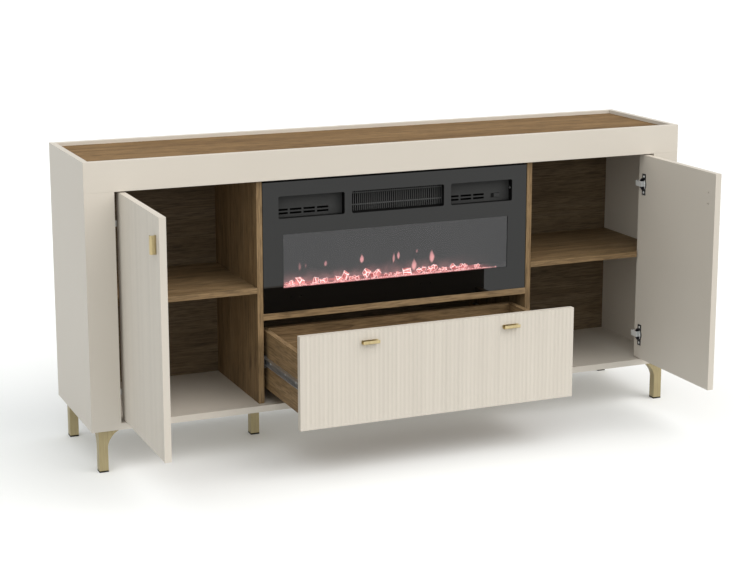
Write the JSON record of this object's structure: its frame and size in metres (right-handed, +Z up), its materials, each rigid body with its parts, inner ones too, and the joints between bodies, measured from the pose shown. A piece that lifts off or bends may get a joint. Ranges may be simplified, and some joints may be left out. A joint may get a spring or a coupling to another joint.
{
  "type": "fireplace tv stand",
  "caption": "Long low media cabinet with fluted cream doors and drawer front, oak top and insides, slim gold legs and an electric fireplace behind glass in its middle bay.",
  "frame": {"origin": "on the floor at the middle of the width, in the front plane of the face frame, which is within 10 mm of the middle of the overall box with the doors open", "axes": "+X to the right along the length as seen from the front, +Y to the back, +Z up"},
  "size_m": [1.8, 0.7531, 0.846],
  "materials": {
    "cream_board": "satin cream lacquer",
    "oak_board": "oak grain, matte",
    "back_sheet": "thin oak-faced sheet, matte",
    "drawer_sheet": "thin oak-faced sheet, matte",
    "gold_leg": "satin gold",
    "satin_brass": "satin",
    "black_plastic": "matte",
    "button_plastic": "matte",
    "bright_steel": "bright zinc",
    "dark_steel": "black nickel",
    "nickel": "nickel",
    "runner_steel": "zinc plated",
    "black_metal": "matte black",
    "smoked_glass": "polished",
    "ember_glass": "cut glass",
    "frosted_acrylic": "frosted",
    "bright_aluminium": "bright",
    "motor_metal": "zinc",
    "lamp_strip": "white",
    "element_fins": "black coated"
  },
  "bodies": {
    "cabinet": {"left_side_panel": "cream_board", "right_side_panel": "cream_board", "left_stile": "cream_board", "right_stile": "cream_board", "front_rail": "cream_board", "bottom_panel": "cream_board", "back_rim": "cream_board", "top_panel": "oak_board", "left_divider": "oak_board", "right_divider": "oak_board", "left_shelf": "oak_board", "right_shelf": "oak_board", "insert_shelf": "oak_board", "back_panel": "back_sheet", "shelf_pins": "bright_steel", "front_left_leg": "gold_leg", "front_right_leg": "gold_leg", "rear_left_leg": "gold_leg", "rear_right_leg": "gold_leg", "middle_legs": "gold_leg", "foot_caps": "black_plastic", "cable_gland": "black_plastic", "left_hinge_arms": "nickel", "left_vent_panel": "black_metal", "left_runner_cabinet": "runner_steel", "right_hinge_arms": "nickel", "right_vent_panel": "black_metal", "right_runner_cabinet": "runner_steel", "front_glass": "smoked_glass", "fireplace_housing": "black_metal", "heater_grille": "black_metal", "ember_tray": "black_metal", "ember_crystals": "ember_glass", "flame_screen": "frosted_acrylic", "spinner_motor": "motor_metal", "fan_motor": "motor_metal", "light_strip": "lamp_strip", "heater_duct": "black_metal", "heating_element": "element_fins"},
    "left_door": {"left_door_panel": "cream_board", "left_door_handle": "satin_brass", "left_hinge_cups": "dark_steel", "left_hinge_pins": "bright_steel"},
    "right_door": {"right_door_panel": "cream_board", "right_door_handle": "satin_brass", "right_hinge_cups": "dark_steel", "right_hinge_pins": "bright_steel"},
    "drawer": {"drawer_front": "cream_board", "drawer_left_side": "oak_board", "drawer_right_side": "oak_board", "drawer_back": "oak_board", "drawer_bottom": "drawer_sheet", "drawer_handles": "satin_brass", "left_runner_drawer": "runner_steel", "right_runner_drawer": "runner_steel"},
    "left_cage": {"left_runner_cage": "runner_steel"},
    "right_cage": {"right_runner_cage": "runner_steel"},
    "fan": {"heater_fan": "black_metal"},
    "spinner": {"flame_spinner": "bright_aluminium"},
    "rocker": {"power_rocker": "button_plastic"}
  },
  "joints": [
    {"name": "left_door_hinge", "type": "hinge", "parent": "cabinet", "child": "left_door", "pos_m": [-0.7965, 0.0104, 0.45], "axis": [0, 0, 1], "range_deg": [-5, 90]},
    {"name": "right_door_hinge", "type": "hinge", "parent": "cabinet", "child": "right_door", "pos_m": [0.7965, 0.0104, 0.45], "axis": [0, 0, -1], "range_deg": [-5, 90]},
    {"name": "drawer_slide", "type": "slide", "parent": "cabinet", "child": "drawer", "axis": [0, -1, 0], "range_m": [-0.265, 0]},
    {"name": "left_cage_slide", "type": "slide", "parent": "cabinet", "child": "left_cage", "axis": [0, -1, 0], "range_m": [-0.1325, 0]},
    {"name": "right_cage_slide", "type": "slide", "parent": "cabinet", "child": "right_cage", "axis": [0, -1, 0], "range_m": [-0.1325, 0]},
    {"name": "fan_spin", "type": "hinge", "parent": "cabinet", "child": "fan", "pos_m": [0, 0.105, 0.684], "axis": [1, 0, 0], "continuous": true},
    {"name": "spinner_spin", "type": "hinge", "parent": "cabinet", "child": "spinner", "pos_m": [0, 0.1365, 0.46997], "axis": [1, 0, 0], "continuous": true},
    {"name": "rocker_tip", "type": "hinge", "parent": "cabinet", "child": "rocker", "pos_m": [0.315, 0.049, 0.668], "axis": [0, 0, 1], "range_deg": [0, 14]}
  ],
  "couplings": [
    {"joint": "left_cage_slide", "follows": "drawer_slide", "ratio": 0.5},
    {"joint": "right_cage_slide", "follows": "drawer_slide", "ratio": 0.5}
  ]
}
